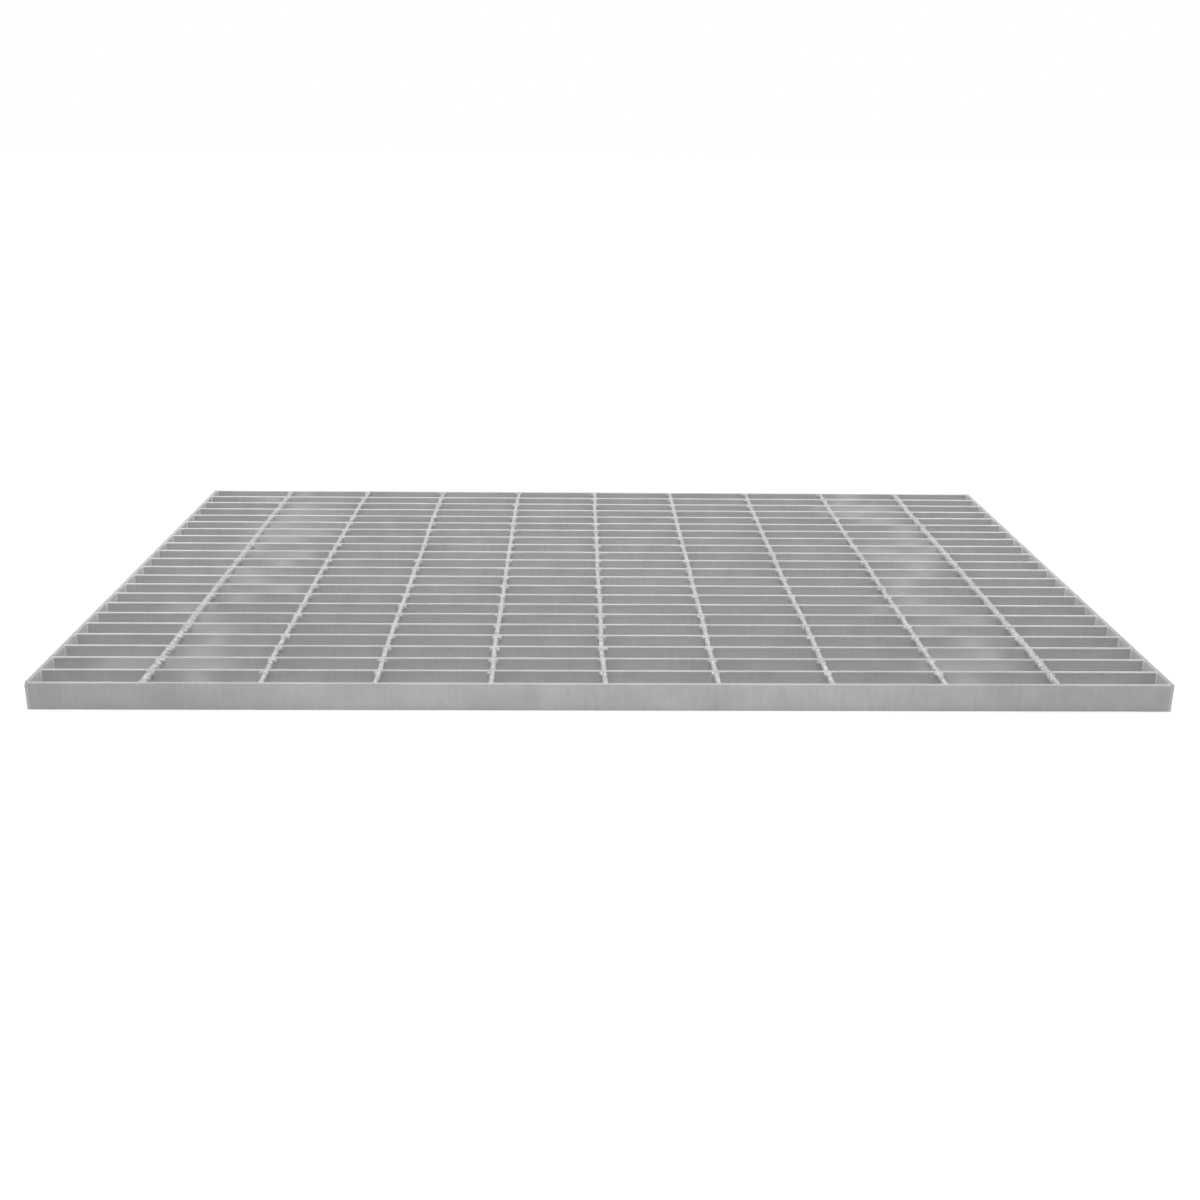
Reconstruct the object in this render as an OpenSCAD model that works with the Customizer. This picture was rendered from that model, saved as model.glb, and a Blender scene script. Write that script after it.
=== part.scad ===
// Forge-welded steel bar grating panel, in millimetres.
// Flat bearing bars stand on edge along X. Cross rods are forged into their top edges along Y,
// and a band is welded over the bar ends at each end of the panel.
// Origin: on the floor under the middle of the panel. +Z is up, out of the walking surface.

/* [Panel] */
// Length of the panel over both end bands, along the bearing bars
panel_length = 1000; // [400:10:3000]
// Number of bearing bars across the width
bar_count = 23; // [5:1:35]

/* [Bearing bars] */
// Height of a bearing bar, which is the height of the panel
bar_height = 25; // [20:1:60]
// Thickness of a bearing bar
bar_thickness = 3; // [2:0.5:6]
// Spacing of the bearing bars, centre to centre
bar_pitch = 30; // [20:1:60]

/* [Cross rods] */
// Side of the square rod, before it is twisted
rod_side = 4.5; // [4:0.5:8]
// Spacing of the cross rods, centre to centre
rod_pitch = 100; // [50:1:120]

/* [End bands] */
// Thickness of the flat bar that closes each end
band_thickness = 3; // [2:0.5:6]

/* [Hidden] */

zinc_grey = [0.74, 0.75, 0.76];

panel_width = (bar_count - 1) * bar_pitch + bar_thickness;
bar_length = panel_length - 2 * band_thickness;
rod_count = ceil(panel_length / rod_pitch) - 1;

// Seen along its length, a twisted square rod is close to a round bar of the same area.
// Eight flat sides are enough for it, and one of them lies level with the bars' top edges.
rod_sides = 8;
rod_radius = rod_side / sqrt(rod_sides / 2 * sin(360 / rod_sides));
rod_half_height = rod_radius * cos(180 / rod_sides);

// Places of a row of count items about the middle
function row(count, pitch) = [for (i = [0 : count - 1]) (i - (count - 1) / 2) * pitch];

module bearing_bar() {
    translate([-bar_length / 2, -bar_thickness / 2, 0])
        cube([bar_length, bar_thickness, bar_height]);
}

// The rod ends are cut level with the outer faces of the outermost bars.
module cross_rod() {
    translate([0, 0, bar_height - rod_half_height])
        rotate([90, 0, 0])
            rotate([0, 0, 180 / rod_sides])
                cylinder(h = panel_width, r = rod_radius, center = true, $fn = rod_sides);
}

module welded_grid() {
    color(zinc_grey)
        union() {
            for (y = row(bar_count, bar_pitch))
                translate([0, y, 0])
                    bearing_bar();
            for (x = row(rod_count, rod_pitch))
                translate([x, 0, 0])
                    cross_rod();
        }
}

// A flat bar on edge, butted against the ends of all the bearing bars
module end_band() {
    color(zinc_grey)
        translate([bar_length / 2, -panel_width / 2, 0])
            cube([band_thickness, panel_width, bar_height]);
}

module end_band_left() {
    mirror([1, 0, 0])
        end_band();
}

module end_band_right() {
    end_band();
}

welded_grid();
end_band_left();
end_band_right();
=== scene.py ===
import math
import random

import bpy
from mathutils import Matrix, Vector


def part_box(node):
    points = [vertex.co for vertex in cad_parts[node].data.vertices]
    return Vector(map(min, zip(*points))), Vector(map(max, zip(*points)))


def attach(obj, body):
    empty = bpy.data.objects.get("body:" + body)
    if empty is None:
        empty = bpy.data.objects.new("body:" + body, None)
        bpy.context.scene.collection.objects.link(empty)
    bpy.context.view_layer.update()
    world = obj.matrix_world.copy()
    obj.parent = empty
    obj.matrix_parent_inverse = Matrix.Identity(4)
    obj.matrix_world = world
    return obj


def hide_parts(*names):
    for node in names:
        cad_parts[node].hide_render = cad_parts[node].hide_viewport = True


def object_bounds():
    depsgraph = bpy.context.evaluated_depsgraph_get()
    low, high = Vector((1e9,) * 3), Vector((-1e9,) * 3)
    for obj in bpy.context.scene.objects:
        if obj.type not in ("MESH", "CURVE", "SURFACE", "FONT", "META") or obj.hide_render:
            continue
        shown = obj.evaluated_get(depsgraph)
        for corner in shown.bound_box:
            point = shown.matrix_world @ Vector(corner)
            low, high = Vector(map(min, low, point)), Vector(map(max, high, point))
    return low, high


# Forge-welded steel bar grating: flat bars on edge, twisted square rods forged into their tops,
# a band across each end, all hot-dip galvanised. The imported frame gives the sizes, in metres.

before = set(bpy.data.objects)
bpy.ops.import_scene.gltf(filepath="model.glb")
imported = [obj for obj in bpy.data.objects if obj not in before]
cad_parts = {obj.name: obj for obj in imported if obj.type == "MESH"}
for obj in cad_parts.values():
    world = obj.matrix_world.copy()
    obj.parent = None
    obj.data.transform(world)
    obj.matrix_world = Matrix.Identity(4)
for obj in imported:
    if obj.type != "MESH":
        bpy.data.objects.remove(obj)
cadLow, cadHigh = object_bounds()
gridLow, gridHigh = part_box("welded_grid")
topLevel = gridHigh.z


def clearSelection():
    if bpy.context.object and bpy.context.object.mode != "OBJECT":
        bpy.ops.object.mode_set(mode="OBJECT")
    bpy.ops.object.select_all(action="DESELECT")


def selectOnly(obj):
    clearSelection()
    obj.select_set(True)
    bpy.context.view_layer.objects.active = obj


def applyPlace(obj):
    selectOnly(obj)
    bpy.ops.object.transform_apply(location=True, rotation=True, scale=True)


def addBlock(name, size, middle):
    # a cube primitive at its size and place, with both already in its mesh
    clearSelection()
    bpy.ops.mesh.primitive_cube_add(size=1, location=middle)
    block = bpy.context.object
    block.name = name
    block.scale = size
    applyPlace(block)
    return block


def deselectMesh(obj, selectMode):
    selectOnly(obj)
    bpy.ops.object.mode_set(mode="EDIT")
    bpy.ops.mesh.select_mode(type=selectMode)
    bpy.ops.mesh.select_all(action="DESELECT")
    bpy.ops.object.mode_set(mode="OBJECT")


nearlyAll = 0.9  # an edge runs along an axis past this share of its direction
nearlyNone = 0.1  # and across it below this one


def selectEdges(obj, wanted):
    # wanted is asked about each edge's direction, and edit mode is left on
    deselectMesh(obj, "EDGE")
    points = obj.data.vertices
    for edge in obj.data.edges:
        a, b = (points[i].co for i in edge.vertices)
        edge.select = wanted((b - a).normalized())
    bpy.ops.object.mode_set(mode="EDIT")


mergeReach = 0.000001  # points nearer than this are one, where a mesh is cut


def cutOff(obj, *planes):
    # each plane is a point and a direction: what lies past it is cut off, and the cut is closed
    selectOnly(obj)
    bpy.ops.object.mode_set(mode="EDIT")
    for point, direction in planes:
        bpy.ops.mesh.select_all(action="SELECT")
        bpy.ops.mesh.bisect(
            plane_co=point, plane_no=direction, use_fill=True, clear_outer=True,
            threshold=mergeReach,
        )
    bpy.ops.object.mode_set(mode="OBJECT")


def applyModifier(obj, kind, settings):
    selectOnly(obj)
    modifier = obj.modifiers.new(kind.lower(), kind)
    for key, value in settings.items():
        setattr(modifier, key, value)
    bpy.ops.object.modifier_apply(modifier=modifier.name)


def copyOf(obj, name):
    twin = obj.copy()
    twin.data = obj.data.copy()
    twin.name = name
    bpy.context.collection.objects.link(twin)
    return twin


def joinAll(parts, name):
    clearSelection()
    for part in parts:
        part.select_set(True)
    bpy.context.view_layer.objects.active = parts[0]
    bpy.ops.object.join()
    joined = bpy.context.object
    joined.name = name
    return joined


flatSmoothing = 40  # degrees, past which an edge of a flat looks sharp
zincSmoothing = 75  # the same where thick zinc softens the steel below


def finishPiece(obj, material, smoothing, *nodes):
    obj.data.materials.clear()
    obj.data.materials.append(material)
    selectOnly(obj)
    bpy.ops.object.shade_smooth_by_angle(angle=math.radians(smoothing))
    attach(obj, "root")
    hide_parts(*nodes)


def evenRow(low, high, count):
    return [low + (high - low) * i / (count - 1) for i in range(count)]


def linearColour(hexCode):
    def channel(value):
        return value / 12.92 if value <= 0.04045 else ((value + 0.055) / 1.055) ** 2.4
    return [channel(int(hexCode[i:i + 2], 16) / 255) for i in (1, 3, 5)] + [1.0]


def addNode(tree, kind, settings, links):
    # settings: sockets by name or number, properties by name; links: input -> (node, output)
    node = tree.nodes.new(kind)
    for key, value in settings.items():
        if isinstance(key, int) or key in node.inputs:
            node.inputs[key].default_value = value
        else:
            setattr(node, key, value)
    for key, (source, output) in links.items():
        tree.links.new(source.outputs[output], node.inputs[key])
    return node


def newMaterial(name):
    material = bpy.data.materials.new(name)
    material.use_nodes = True
    material.node_tree.nodes.clear()
    return material, material.node_tree


def perMetre(millimetres):
    return 1000.0 / millimetres


def setRamp(node, stops):
    # a new ramp has two stops
    for element, (place, colour) in zip(node.color_ramp.elements, stops):
        element.position = place
        element.color = colour


# Hot-dip galvanised mild steel: rolled flats dipped in molten zinc. The coat dries to a pale
# satin grey, with a soft cloudy mottle, faint runs where the zinc drained, and no clear spangle.
# Inside the panel two soft bands are paler. The front bars are painted a shade darker, a painted
# shade as less light reaches them, and the outer faces get painted shade, more towards the ends.
# Down each inner face the zinc is painted paler, as light from the floor below would make it. The
# top edges are painted palest, a painted highlight, most of all in the end bays and towards the back.
flatLook = {
    "name": "galvanised_flat_bar",
    "dark": "#A8A8A8",
    "pale": "#B5B5B5",
    "toneRange": (0.36, 0.64),  # the part of the mottle that the two tones are spread over
    # patterns: the size of their patches in millimetres, detail and roughness
    "clouds": (38.0, 4.0, 0.55),
    "runs": (3.2, 3.0, 0.5),
    "grain": (1.6, 2.0, 0.6),
    "smears": (48.0, 1.0, 0.5),
    "runStretch": 0.16,  # the runs are drawn out downwards, so the pattern is squeezed along Z
    "runShare": 0.30,
    "grainShare": 0.1,
    # the tone, places, half width and shift of two soft paler bands on the inner faces
    "stripePale": "#C2C2C2",
    "stripePlaces": (-0.376, 0.350),
    "stripeHalfWidth": 0.050,
    "stripeWander": 0.14,  # how far the bands shift from bar to bar
    "smearStretch": 0.35,  # and they are smeared along each bar
    "outerShades": (0.76, 0.68),  # painted shade of the outer faces, in their middle and past the outer cross rods
    "outerEnds": (0.27, 0.37),  # how far from the middle the one turns into the other
    "outerDepths": (0.0003, 0.0008),  # the painted shade on the outer faces fades out between these depths
    "topShades": (1.26, 1.48),  # painted highlight of the top edges, between the cross rods and in the end bays
    "topDepths": (0.0003, 0.0009),  # the painted highlight on the top fades out between these depths
    "endBays": (0.395, 0.410),  # how far from the middle of the panel they begin
    "backTopShade": 1.17,  # painted highlight of the top edges at the back, where the front ones have 1
    "paintedBounceShades": (0.91, 1.22),  # painted light on the inner faces, as from the floor below, at these depths below the top
    "paintedBounceDepths": (0.002, 0.011),
    "frontShade": 0.90,  # painted shade of the inner faces at the front, as less light reaches them
    "frontReach": (-0.33, 0.0),  # from the front bar to where the painted shade ends
    "metallic": 0.40,
    "roughRange": (0.54, 0.46),  # the darker zinc is the duller
    "roughOver": (0.35, 0.65),  # the part of the mottle that the roughness is spread over
    "bumpMm": 0.05,
    "bumpStrength": 0.5,
}
# The same coat on the end bands and their welds: grainier, and painted paler on the inner faces as
# painted light from the sides, with painted shade on the outer faces and the tops.
bandLook = dict(
    flatLook, name="galvanised_end_band", dark="#CBCBCB", pale="#DDDDDD", grainShare=0.5,
    outerShades=(0.545, 0.545), outerDepths=(0.0014, 0.0026), topShades=(0.88, 0.88),
    backTopShade=1.0, paintedBounceShades=(1.0, 1.0),
)


def addPatterns(tree, look, place):
    drawn = addNode(
        tree, "ShaderNodeMapping", {"Scale": (1.0, 1.0, look["runStretch"])},
        {"Vector": (place, "Object")},
    )
    smeared = addNode(
        tree, "ShaderNodeMapping", {"Scale": (look["smearStretch"], 1.0, look["smearStretch"])},
        {"Vector": (place, "Object")},
    )
    patterns = {}
    for pattern, vector in (
        ("clouds", (place, "Object")),
        ("runs", (drawn, "Vector")),
        ("grain", (place, "Object")),
        ("smears", (smeared, "Vector")),
    ):
        sizeMm, detail, roughness = look[pattern]
        patterns[pattern] = addNode(
            tree, "ShaderNodeTexNoise",
            {"Scale": perMetre(sizeMm), "Detail": detail, "Roughness": roughness},
            {"Vector": vector},
        )
    return patterns


def addPaleStripes(tree, look, parts, smears):
    # how far along the panel a point lies, shifted from bar to bar, gives the two paler bands
    wander = addNode(
        tree, "ShaderNodeMapRange",
        {"To Min": -look["stripeWander"], "To Max": look["stripeWander"]}, {"Value": (smears, "Fac")},
    )
    along = addNode(
        tree, "ShaderNodeMath", {"operation": "ADD"}, {0: (parts, "X"), 1: (wander, "Result")},
    )
    amounts = []
    for middle in look["stripePlaces"]:
        offset = addNode(
            tree, "ShaderNodeMath", {"operation": "SUBTRACT", 1: middle}, {0: (along, "Value")},
        )
        distance = addNode(tree, "ShaderNodeMath", {"operation": "ABSOLUTE"}, {0: (offset, "Value")})
        amounts.append(addNode(
            tree, "ShaderNodeMapRange",
            {"interpolation_type": "SMOOTHSTEP", "From Max": look["stripeHalfWidth"],
             "To Min": 1.0, "To Max": 0.0},
            {"Value": (distance, "Value")},
        ))
    return addNode(
        tree, "ShaderNodeMath", {"operation": "MAXIMUM"},
        {0: (amounts[0], "Result"), 1: (amounts[1], "Result")},
    )


def addInside(tree, look, outwards):
    # 1 inside the panel and 0 on its four outer sides
    shallow, deep = look["outerDepths"]
    sides = []
    for axis, edge in (("X", cadHigh.x), ("Y", cadHigh.y)):
        sides.append(addNode(
            tree, "ShaderNodeMapRange",
            {"From Min": edge - deep, "From Max": edge - shallow, "To Min": 1.0, "To Max": 0.0},
            {"Value": (outwards[axis], "Value")},
        ))
    return addNode(
        tree, "ShaderNodeMath", {"operation": "MINIMUM"},
        {0: (sides[0], "Result"), 1: (sides[1], "Result")},
    )


def addBelowTop(tree, look, parts):
    # 1 below the top edges and 0 on them
    shallow, deep = look["topDepths"]
    return addNode(
        tree, "ShaderNodeMapRange",
        {"From Min": topLevel - deep, "From Max": topLevel - shallow, "To Min": 1.0, "To Max": 0.0},
        {"Value": (parts, "Z")},
    )


# painted light and shade: the inner faces are painted paler backwards and downwards, the outer ones
# darker towards the ends
def addSideShade(tree, look, parts, outwards, inside):
    # the inner faces get paler backwards and downwards, the outer ones darker towards the ends
    front, full = look["frontReach"]
    backwards = addNode(
        tree, "ShaderNodeMapRange",
        {"From Min": front, "From Max": full, "To Min": look["frontShade"], "To Max": 1.0},
        {"Value": (parts, "Y")},
    )
    upper, lower = look["paintedBounceShades"]
    shallow, deep = look["paintedBounceDepths"]
    downwards = addNode(
        tree, "ShaderNodeMapRange",
        {"From Min": topLevel - deep, "From Max": topLevel - shallow, "To Min": lower, "To Max": upper},
        {"Value": (parts, "Z")},
    )
    innerShade = addNode(
        tree, "ShaderNodeMath", {"operation": "MULTIPLY"},
        {0: (backwards, "Result"), 1: (downwards, "Result")},
    )
    middleOuter, endOuter = look["outerShades"]
    begins, reached = look["outerEnds"]
    outerShade = addNode(
        tree, "ShaderNodeMapRange",
        {"From Min": begins, "From Max": reached, "To Min": middleOuter, "To Max": endOuter},
        {"Value": (outwards["X"], "Value")},
    )
    return addNode(
        tree, "ShaderNodeMapRange", {},
        {"Value": (inside, "Value"), "To Min": (outerShade, "Result"), "To Max": (innerShade, "Value")},
    )


def addTopShade(tree, look, parts, outwards, belowTop):
    # a painted highlight: the top edges are painted paler in the end bays and towards the back
    middleTop, endTop = look["topShades"]
    begins, reached = look["endBays"]
    endPale = addNode(
        tree, "ShaderNodeMapRange",
        {"From Min": begins, "From Max": reached, "To Min": middleTop, "To Max": endTop},
        {"Value": (outwards["X"], "Value")},
    )
    backPale = addNode(
        tree, "ShaderNodeMapRange",
        {"From Min": cadLow.y, "From Max": cadHigh.y, "To Min": 1.0, "To Max": look["backTopShade"]},
        {"Value": (parts, "Y")},
    )
    topPale = addNode(
        tree, "ShaderNodeMath", {"operation": "MULTIPLY"},
        {0: (endPale, "Result"), 1: (backPale, "Result")},
    )
    return addNode(
        tree, "ShaderNodeMapRange", {"To Max": 1.0},
        {"Value": (belowTop, "Result"), "To Min": (topPale, "Value")},
    )


def zincOnFlats(look):
    material, tree = newMaterial(look["name"])
    place = addNode(tree, "ShaderNodeTexCoord", {}, {})
    parts = addNode(tree, "ShaderNodeSeparateXYZ", {}, {"Vector": (place, "Object")})
    outwards = {}
    for axis in "XY":
        outwards[axis] = addNode(tree, "ShaderNodeMath", {"operation": "ABSOLUTE"}, {0: (parts, axis)})
    patterns = addPatterns(tree, look, place)
    mottle = addNode(
        tree, "ShaderNodeMix", {"data_type": "FLOAT", "Factor": look["runShare"]},
        {"A": (patterns["clouds"], "Fac"), "B": (patterns["runs"], "Fac")},
    )
    grained = addNode(
        tree, "ShaderNodeMix", {"data_type": "FLOAT", "Factor": look["grainShare"]},
        {"A": (mottle, "Result"), "B": (patterns["grain"], "Fac")},
    )
    colour = addNode(tree, "ShaderNodeValToRGB", {}, {"Fac": (grained, "Result")})
    setRamp(colour, zip(look["toneRange"], (linearColour(look["dark"]), linearColour(look["pale"]))))
    # the paler bands show on the inner faces only
    banded = addPaleStripes(tree, look, parts, patterns["smears"])
    inside = addInside(tree, look, outwards)
    belowTop = addBelowTop(tree, look, parts)
    insideBelow = addNode(
        tree, "ShaderNodeMath", {"operation": "MINIMUM"},
        {0: (inside, "Value"), 1: (belowTop, "Result")},
    )
    innerBands = addNode(
        tree, "ShaderNodeMath", {"operation": "MULTIPLY"},
        {0: (banded, "Value"), 1: (insideBelow, "Value")},
    )
    # inputs 6 and 7 of a colour mix are its two colours, and output 2 is the result
    zinc = addNode(
        tree, "ShaderNodeMix", {"data_type": "RGBA", 7: linearColour(look["stripePale"])},
        {0: (innerBands, "Value"), 6: (colour, "Color")},
    )
    sideShade = addSideShade(tree, look, parts, outwards, inside)
    topShade = addTopShade(tree, look, parts, outwards, belowTop)
    bothShades = addNode(
        tree, "ShaderNodeMath", {"operation": "MULTIPLY"},
        {0: (sideShade, "Result"), 1: (topShade, "Result")},
    )
    shaded = addNode(
        tree, "ShaderNodeHueSaturation", {}, {"Color": (zinc, 2), "Value": (bothShades, "Value")},
    )
    roughLow, roughHigh = look["roughOver"]
    dull, bright = look["roughRange"]
    rough = addNode(
        tree, "ShaderNodeMapRange",
        {"From Min": roughLow, "From Max": roughHigh, "To Min": dull, "To Max": bright},
        {"Value": (mottle, "Result")},
    )
    bump = addNode(
        tree, "ShaderNodeBump",
        {"Strength": look["bumpStrength"], "Distance": look["bumpMm"] / 1000},
        {"Height": (patterns["grain"], "Fac")},
    )
    shader = addNode(
        tree, "ShaderNodeBsdfPrincipled", {"Metallic": look["metallic"]},
        {"Base Color": (shaded, "Color"), "Roughness": (rough, "Result"), "Normal": (bump, "Normal")},
    )
    addNode(tree, "ShaderNodeOutputMaterial", {}, {"Surface": (shader, "BSDF")})
    return material


# The same zinc over twisted rod and forged spots: it wets rough steel thickly, so it is paler,
# duller and grainier than on the flats.
rodLook = {
    "name": "galvanised_twisted_rod",
    "dark": "#A5A5A5",
    "pale": "#D0D0D0",
    "toneRange": (0.36, 0.62),
    "grain": (3.0, 3.0, 0.6),  # the size of its patches in millimetres, detail and roughness
    "metallic": 0.35,
    "roughRange": (0.66, 0.50),
    "roughOver": (0.3, 0.7),
    "bumpMm": 0.15,
    "bumpStrength": 0.6,
}
flashLook = dict(rodLook, name="galvanised_forge_flash", grain=(2.2, 3.0, 0.6), bumpMm=0.20)


def zincOnRough(look):
    material, tree = newMaterial(look["name"])
    place = addNode(tree, "ShaderNodeTexCoord", {}, {})
    sizeMm, detail, roughness = look["grain"]
    grain = addNode(
        tree, "ShaderNodeTexNoise",
        {"Scale": perMetre(sizeMm), "Detail": detail, "Roughness": roughness},
        {"Vector": (place, "Object")},
    )
    colour = addNode(tree, "ShaderNodeValToRGB", {}, {"Fac": (grain, "Fac")})
    setRamp(colour, zip(look["toneRange"], (linearColour(look["dark"]), linearColour(look["pale"]))))
    roughLow, roughHigh = look["roughOver"]
    dull, bright = look["roughRange"]
    rough = addNode(
        tree, "ShaderNodeMapRange",
        {"From Min": roughLow, "From Max": roughHigh, "To Min": dull, "To Max": bright},
        {"Value": (grain, "Fac")},
    )
    bump = addNode(
        tree, "ShaderNodeBump",
        {"Strength": look["bumpStrength"], "Distance": look["bumpMm"] / 1000},
        {"Height": (grain, "Fac")},
    )
    shader = addNode(
        tree, "ShaderNodeBsdfPrincipled", {"Metallic": look["metallic"]},
        {"Base Color": (colour, "Color"), "Roughness": (rough, "Result"), "Normal": (bump, "Normal")},
    )
    addNode(tree, "ShaderNodeOutputMaterial", {}, {"Surface": (shader, "BSDF")})
    return material


flatZinc = zincOnFlats(flatLook)
bandZinc = zincOnFlats(bandLook)
rodZinc = zincOnRough(rodLook)
flashZinc = zincOnRough(flashLook)
print("materials made")


bars = {
    "count": 23,
    "thickness": 0.003,
    "edgeRadius": 0.0005,
    "edgeSegments": 3,
    "leanDegrees": 0.5,
    "seed": 4,
}


def barPlaces():
    half = bars["thickness"] / 2
    return evenRow(gridLow.y + half, gridHigh.y - half, bars["count"])


def makeBearingBars():
    dice = random.Random(bars["seed"])
    length = gridHigh.x - gridLow.x
    height = gridHigh.z - gridLow.z
    pattern = addBlock("bar_pattern", (length, bars["thickness"], height), (0, 0, 0))
    # rolled flats have their four long edges rounded
    selectEdges(pattern, lambda way: abs(way.x) > nearlyAll)
    bpy.ops.mesh.bevel(offset=bars["edgeRadius"], segments=bars["edgeSegments"])
    clearSelection()
    for i, y in enumerate(barPlaces()):
        bar = copyOf(pattern, f"bearing_bar_{i + 1:02d}")
        # all but the two outermost lean a little, as forged bars do
        inner = 0 < i < bars["count"] - 1
        lean = dice.uniform(-1, 1) * math.radians(bars["leanDegrees"]) if inner else 0.0
        place = Vector(((gridLow.x + gridHigh.x) / 2, y, (gridLow.z + gridHigh.z) / 2))
        bar.data.transform(Matrix.Translation(place) @ Matrix.Rotation(lean, 4, "X"))
        finishPiece(bar, flatZinc, flatSmoothing, "welded_grid")
    bpy.data.objects.remove(pattern)


makeBearingBars()
print("bearing bars made")


rods = {
    "count": 9,
    "pitch": 0.100,
    "side": 0.0039,  # of the bare rod, before the zinc lies on it
    "cornerRadius": 0.0005,
    "cornerSegments": 2,
    "turnLength": 0.034,  # one full turn of the twist
    "ringsPerTurn": 16,
    "proud": 0.0006,  # how far the lobes stood over the bars before the forge pressed them level
    "lumpSize": 0.0035,  # lumps of zinc along the twist
    "lumpHeight": 0.0005,
    "wanderLength": 0.12,  # the rods are not quite straight
    "wander": 0.0016,
    "grown": {0: 1.46, 8: 1.34},  # the two outer rods took on more zinc
    "endInset": 0.0003,  # the ends are dressed flush and zinc hides them in the outermost bars
    "pressedDrop": 0.00002,  # the pressed tops, below the walking surface
    "seed": 11,
    # the shears left the ends a little to one side, in millimetres, and the bends fade out inwards
    "frontBends": (-0.6, 2.3, 1.2, 1.1, 1.5, 0.2, 0.2, -0.2, -1.0),
    "backBends": (0.8, 2.2, 0.6, 1.6, 1.6, 1.2, 2.4, 1.2, 1.2),
    "bendReach": 0.09,
    "tipReach": 0.0004,  # from the panel's edge to the farthest points of a rod's end face
}


def rodPlaces():
    half = rods["pitch"] * (rods["count"] - 1) / 2
    return evenRow(-half, half, rods["count"])


def makeCrossRods():
    dice = random.Random(rods["seed"])
    length = gridHigh.y - gridLow.y - 2 * rods["endInset"]
    side = rods["side"]
    turns = length / rods["turnLength"]
    lumps = bpy.data.textures.new("zinc_lumps", "CLOUDS")
    lumps.noise_scale = rods["lumpSize"]
    drift = bpy.data.textures.new("rod_drift", "CLOUDS")
    drift.noise_scale = rods["wanderLength"]
    drift.noise_depth = 0
    pattern = addBlock("rod_pattern", (side, length, side), (0, 0, 0))
    selectEdges(pattern, lambda way: abs(way.y) > nearlyAll)
    bpy.ops.mesh.bevel(offset=rods["cornerRadius"], segments=rods["cornerSegments"])
    # subdivide makes 100 cuts at most, so first into a length for each turn, then into its rings
    for lengths in (round(turns), rods["ringsPerTurn"]):
        selectEdges(pattern, lambda way: abs(way.y) > nearlyAll)
        bpy.ops.mesh.subdivide(number_cuts=lengths - 1)
    clearSelection()
    for i, x in enumerate(rodPlaces()):
        rod = copyOf(pattern, f"cross_rod_{i + 1}")
        applyModifier(rod, "SIMPLE_DEFORM", {
            "deform_method": "TWIST", "deform_axis": "Y", "angle": turns * 2 * math.pi,
        })
        rod.rotation_euler.y = dice.uniform(0, math.pi / 2)
        grow = rods["grown"].get(i, 1.0)
        lobeReach = grow * side / math.sqrt(2)
        rod.location = (x, (gridLow.y + gridHigh.y) / 2, topLevel - lobeReach + rods["proud"])
        rod.scale = (grow, 1, grow)
        applyPlace(rod)
        applyModifier(rod, "DISPLACE", {
            "texture": lumps, "texture_coords": "LOCAL",
            "strength": rods["lumpHeight"] * grow ** 2,
        })
        applyModifier(rod, "DISPLACE", {
            "texture": drift, "texture_coords": "LOCAL", "direction": "X",
            "strength": rods["wander"],
        })
        for tip, bends in ((gridLow.y, rods["frontBends"]), (gridHigh.y, rods["backBends"])):
            deselectMesh(rod, "VERT")
            for point in rod.data.vertices:
                point.select = abs(point.co.y - tip) < rods["tipReach"]
            bpy.ops.object.mode_set(mode="EDIT")
            bpy.ops.transform.translate(
                value=(bends[i] / 1000, 0, 0), use_proportional_edit=True,
                proportional_edit_falloff="SMOOTH", proportional_size=rods["bendReach"],
            )
            bpy.ops.object.mode_set(mode="OBJECT")
        # the welding jaws press the tops of the twist level with the bars
        cutOff(rod, ((x, 0, topLevel - rods["pressedDrop"]), (0, 0, 1)))
        finishPiece(rod, rodZinc, zincSmoothing, "welded_grid")
    bpy.data.objects.remove(pattern)


makeCrossRods()
print("cross rods made")


flash = {
    "halfSize": (0.0043, 0.0032, 0.0021),  # of the steel squeezed out round a crossing
    "edgeRadius": 0.0014,
    "edgeSegments": 2,
    "topDrop": 0.0003,  # its flat top, below the walking surface
    # how much the pads differ in height, size, turn and place
    "dropSpread": 0.0006,
    "spread": 0.15,
    "turnDegrees": 12,
    "shift": 0.0005,
    "inset": 0.0004,  # how far inside the outermost bars' outer faces it stops
    "seed": 23,
}


def makeForgeFlash():
    dice = random.Random(flash["seed"])
    pattern = addBlock("flash_pattern", [2 * half for half in flash["halfSize"]], (0, 0, 0))
    selectEdges(pattern, lambda way: True)
    bpy.ops.mesh.bevel(offset=flash["edgeRadius"], segments=flash["edgeSegments"])
    clearSelection()
    for i, x in enumerate(rodPlaces()):
        pads = []
        for y in barPlaces():
            pad = copyOf(pattern, "pad")
            pad.scale = [1 + dice.uniform(-1, 1) * flash["spread"] for _ in range(3)]
            pad.rotation_euler.z = math.radians(dice.uniform(-flash["turnDegrees"], flash["turnDegrees"]))
            halfHeight = flash["halfSize"][2] * pad.scale.z
            drop = halfHeight + flash["topDrop"] + dice.uniform(0, flash["dropSpread"])
            shift = [dice.uniform(-1, 1) * flash["shift"] for _ in range(2)]
            pad.location = (x + shift[0], y + shift[1], topLevel - drop)
            applyPlace(pad)
            pads.append(pad)
        joined = joinAll(pads, f"forge_flash_{i + 1}")
        cutOff(
            joined,
            ((0, gridLow.y + flash["inset"], 0), (0, -1, 0)),
            ((0, gridHigh.y - flash["inset"], 0), (0, 1, 0)),
        )
        finishPiece(joined, flashZinc, zincSmoothing, "welded_grid")
    bpy.data.objects.remove(pattern)


makeForgeFlash()
print("forge flash made")


bands = {
    "edgeRadius": 0.0005,
    "edgeSegments": 3,
    "groundCorner": 0.0032,  # how far from its tip the front top corner of the left band is ground
}


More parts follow.
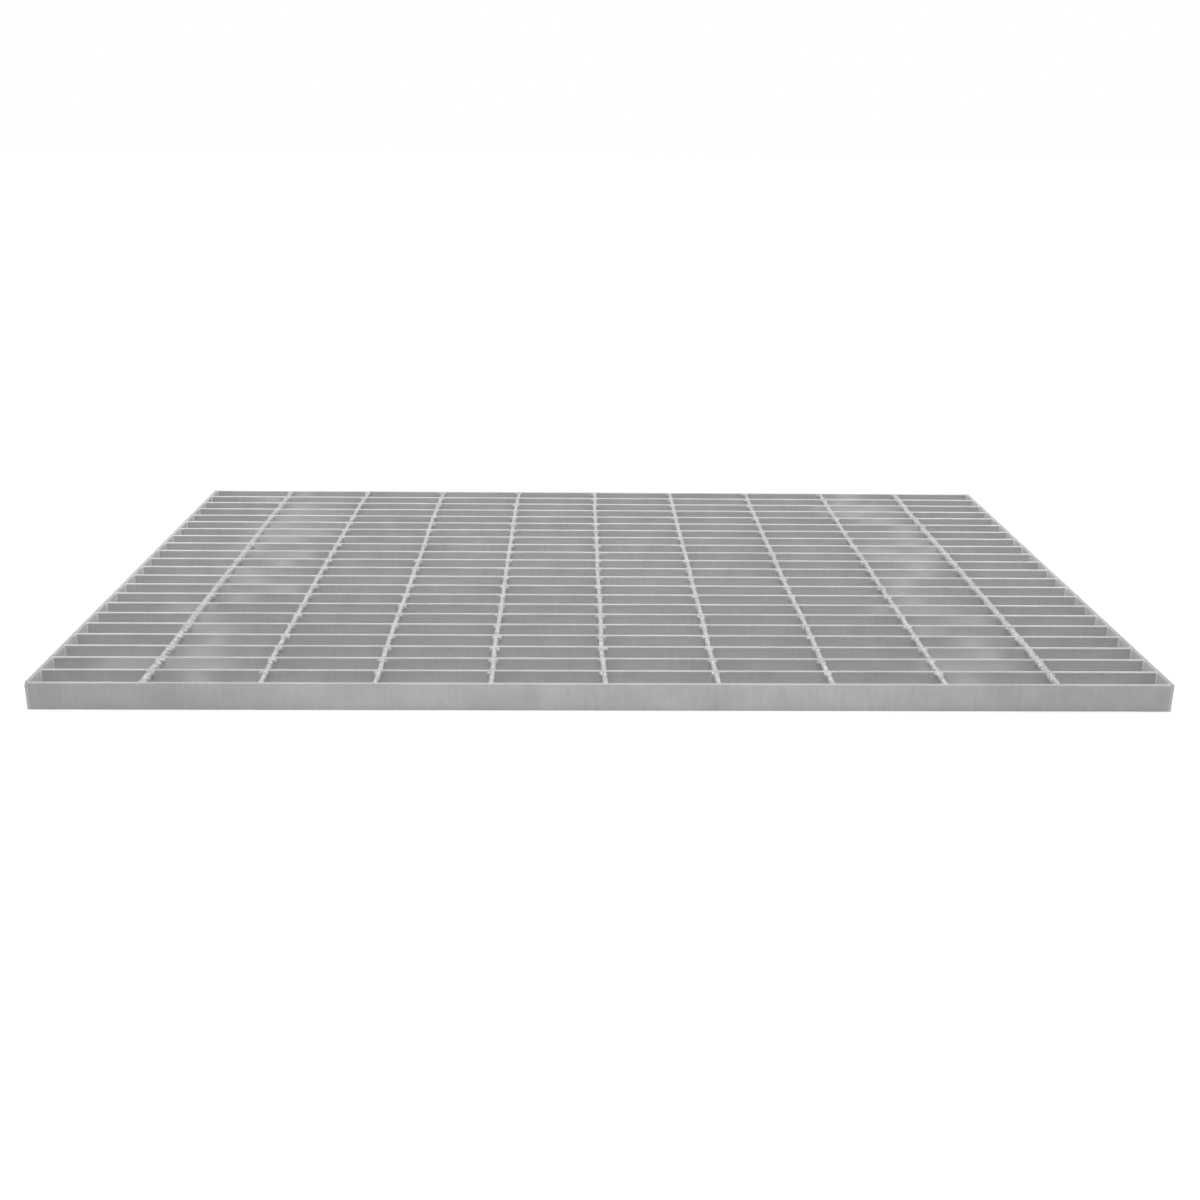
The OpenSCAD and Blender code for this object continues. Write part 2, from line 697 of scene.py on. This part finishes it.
def makeEndBand(node, cornerGround):
    low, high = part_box(node)
    band = addBlock(f"{node}_flat", high - low, (low + high) / 2)
    selectEdges(band, lambda way: True)
    bpy.ops.mesh.bevel(offset=bands["edgeRadius"], segments=bands["edgeSegments"])
    clearSelection()
    if cornerGround:
        corner = Vector((low.x, low.y, high.z))
        outwards = Vector((-1, -1, 1)).normalized()
        cutOff(band, (corner - outwards * bands["groundCorner"] / math.sqrt(3), outwards))
    finishPiece(band, bandZinc, flatSmoothing, node)


welds = {
    "leg": 0.0013,  # the bead's radius round the corner between bar and band
    "sides": 10,
    "roundShare": 0.45,  # of the leg, by which its two ends are rounded off
    "roundSegments": 2,
    "endGap": 0.0004,  # between a bead's end and the bar's top or underside
    "edgeGap": 0.001,  # there is no bead this near the outermost bars' outer faces
    "spread": 0.18,
    "seed": 31,
}


def makeEndWelds(node, name):
    dice = random.Random(welds["seed"] + len(name))  # so that the two ends differ
    low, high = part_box(node)
    inner = low.x if low.x > 0 else high.x  # the band's face against the bar ends
    tall = topLevel - gridLow.z - 2 * welds["endGap"]
    beads = []
    for y in barPlaces():
        for side in (-1, 1):
            corner = y + side * bars["thickness"] / 2
            if not gridLow.y + welds["edgeGap"] < corner < gridHigh.y - welds["edgeGap"]:
                continue
            clearSelection()
            bpy.ops.mesh.primitive_cylinder_add(
                vertices=welds["sides"], radius=welds["leg"], depth=tall,
                location=(inner, corner, (gridLow.z + topLevel) / 2),
            )
            bead = bpy.context.object
            grow = 1 + dice.uniform(-1, 1) * welds["spread"]
            bead.scale = (grow, grow, 1)
            applyPlace(bead)
            selectEdges(bead, lambda way: abs(way.z) < nearlyNone)
            bpy.ops.mesh.bevel(
                offset=welds["leg"] * welds["roundShare"], segments=welds["roundSegments"],
            )
            clearSelection()
            beads.append(bead)
    joined = joinAll(beads, name)
    finishPiece(joined, bandZinc, flatSmoothing, "welded_grid")


makeEndBand("end_band_left", True)
makeEndBand("end_band_right", False)
makeEndWelds("end_band_left", "end_welds_left")
makeEndWelds("end_band_right", "end_welds_right")
print("end bands and welds made")


studio = {
    "floorSize": 60,
    "floorColour": "#F6F6F6",
    "floorGlow": 0.08,  # a lit white table, so that no shadow on it is heavy
    "horizonStrength": 1.0,
    "skyStrength": 0.06,
    "horizonTop": 0.26,  # sine of the elevation up to which the surroundings are white
    "skyStart": 0.44,
    # sun lamps: name, tilt from straight overhead towards the front and towards the right,
    # strength and softness, with all angles in degrees
    "washes": (
        ("overhead", 0, 0, 1.68, 40),
        ("front_wash", 50, 0, 0.90, 60),
        ("back_wash", -58, 0, 0.75, 60),
        ("right_wash", 0, 62, 0.50, 70),
        ("left_wash", 0, -62, 0.50, 70),
    ),
    "lampHeight": 3,
    # a nearer soft box brightens the middle of the front edge: power, size, place and aim
    "boxPower": 1.25,
    "boxSize": (0.6, 0.3),
    "boxPlace": (0.0, -1.0, 0.60),
    "boxAim": (0.0, -0.33, 0.0),
}


def makeFloor():
    clearSelection()
    bpy.ops.mesh.primitive_plane_add(size=studio["floorSize"], location=(0, 0, cadLow.z))
    floor = bpy.context.object
    floor.name = "floor"
    material, tree = newMaterial("pale_floor")
    shader = addNode(
        tree, "ShaderNodeBsdfPrincipled",
        {"Base Color": linearColour(studio["floorColour"]), "Roughness": 1.0,
         "Specular IOR Level": 0.0, "Emission Color": linearColour(studio["floorColour"]),
         "Emission Strength": studio["floorGlow"]}, {},
    )
    addNode(tree, "ShaderNodeOutputMaterial", {}, {"Surface": (shader, "BSDF")})
    floor.data.materials.append(material)


def makeLight():
    world = bpy.data.worlds.new("studio")
    bpy.context.scene.world = world
    world.use_nodes = True
    tree = world.node_tree
    tree.nodes.clear()
    # white round the horizon, so that it meets the floor without a line, and dim overhead
    way = addNode(tree, "ShaderNodeTexCoord", {}, {})
    parts = addNode(tree, "ShaderNodeSeparateXYZ", {}, {"Vector": (way, "Generated")})
    strength = addNode(
        tree, "ShaderNodeMapRange",
        {"From Min": studio["horizonTop"], "From Max": studio["skyStart"],
         "To Min": studio["horizonStrength"], "To Max": studio["skyStrength"]},
        {"Value": (parts, "Z")},
    )
    dome = addNode(tree, "ShaderNodeBackground", {}, {"Strength": (strength, "Result")})
    dome.inputs["Color"].default_value = (1.0, 1.0, 1.0, 1.0)
    addNode(tree, "ShaderNodeOutputWorld", {}, {"Surface": (dome, "Background")})
    for name, towardsFront, towardsRight, power, softness in studio["washes"]:
        clearSelection()
        tilt = (math.radians(towardsFront), math.radians(towardsRight), 0)
        bpy.ops.object.light_add(type="SUN", location=(0, 0, studio["lampHeight"]), rotation=tilt)
        lamp = bpy.context.object
        lamp.name = name
        lamp.data.energy = power
        lamp.data.angle = math.radians(softness)
    clearSelection()
    bpy.ops.object.light_add(type="AREA", location=studio["boxPlace"])
    box = bpy.context.object
    box.name = "front_softbox"
    box.data.shape = "RECTANGLE"
    box.data.size, box.data.size_y = studio["boxSize"]
    box.data.energy = studio["boxPower"]
    towards = Vector(studio["boxAim"]) - Vector(studio["boxPlace"])
    box.rotation_euler = towards.to_track_quat("-Z", "Y").to_euler()
    box.visible_camera = False
    bpy.context.scene.view_settings.view_transform = "Standard"


cameraView = {
    "place": (-0.0275, -1.4274, 0.4803),
    "tiltDown": 19.028,  # in degrees, as are the turn and the roll
    "turn": -1.208,
    "roll": 0.604,
    "lens": 40.93,  # in millimetres, as is the sensor
    "sensor": 36,
    "clipStart": 0.01,
}


def makeCamera():
    clearSelection()
    bpy.ops.object.camera_add(location=cameraView["place"])
    camera = bpy.context.object
    camera.name = "camera"
    camera.data.sensor_width = cameraView["sensor"]
    camera.data.lens = cameraView["lens"]
    camera.data.clip_start = cameraView["clipStart"]
    turn = Matrix.Rotation(math.radians(cameraView["turn"]), 4, "Z")
    tilt = Matrix.Rotation(math.radians(90 - cameraView["tiltDown"]), 4, "X")
    roll = Matrix.Rotation(math.radians(cameraView["roll"]), 4, "Z")
    camera.matrix_world = Matrix.Translation(cameraView["place"]) @ turn @ tilt @ roll
    bpy.context.scene.camera = camera


makeFloor()
makeLight()
makeCamera()
print("floor, light and camera made")
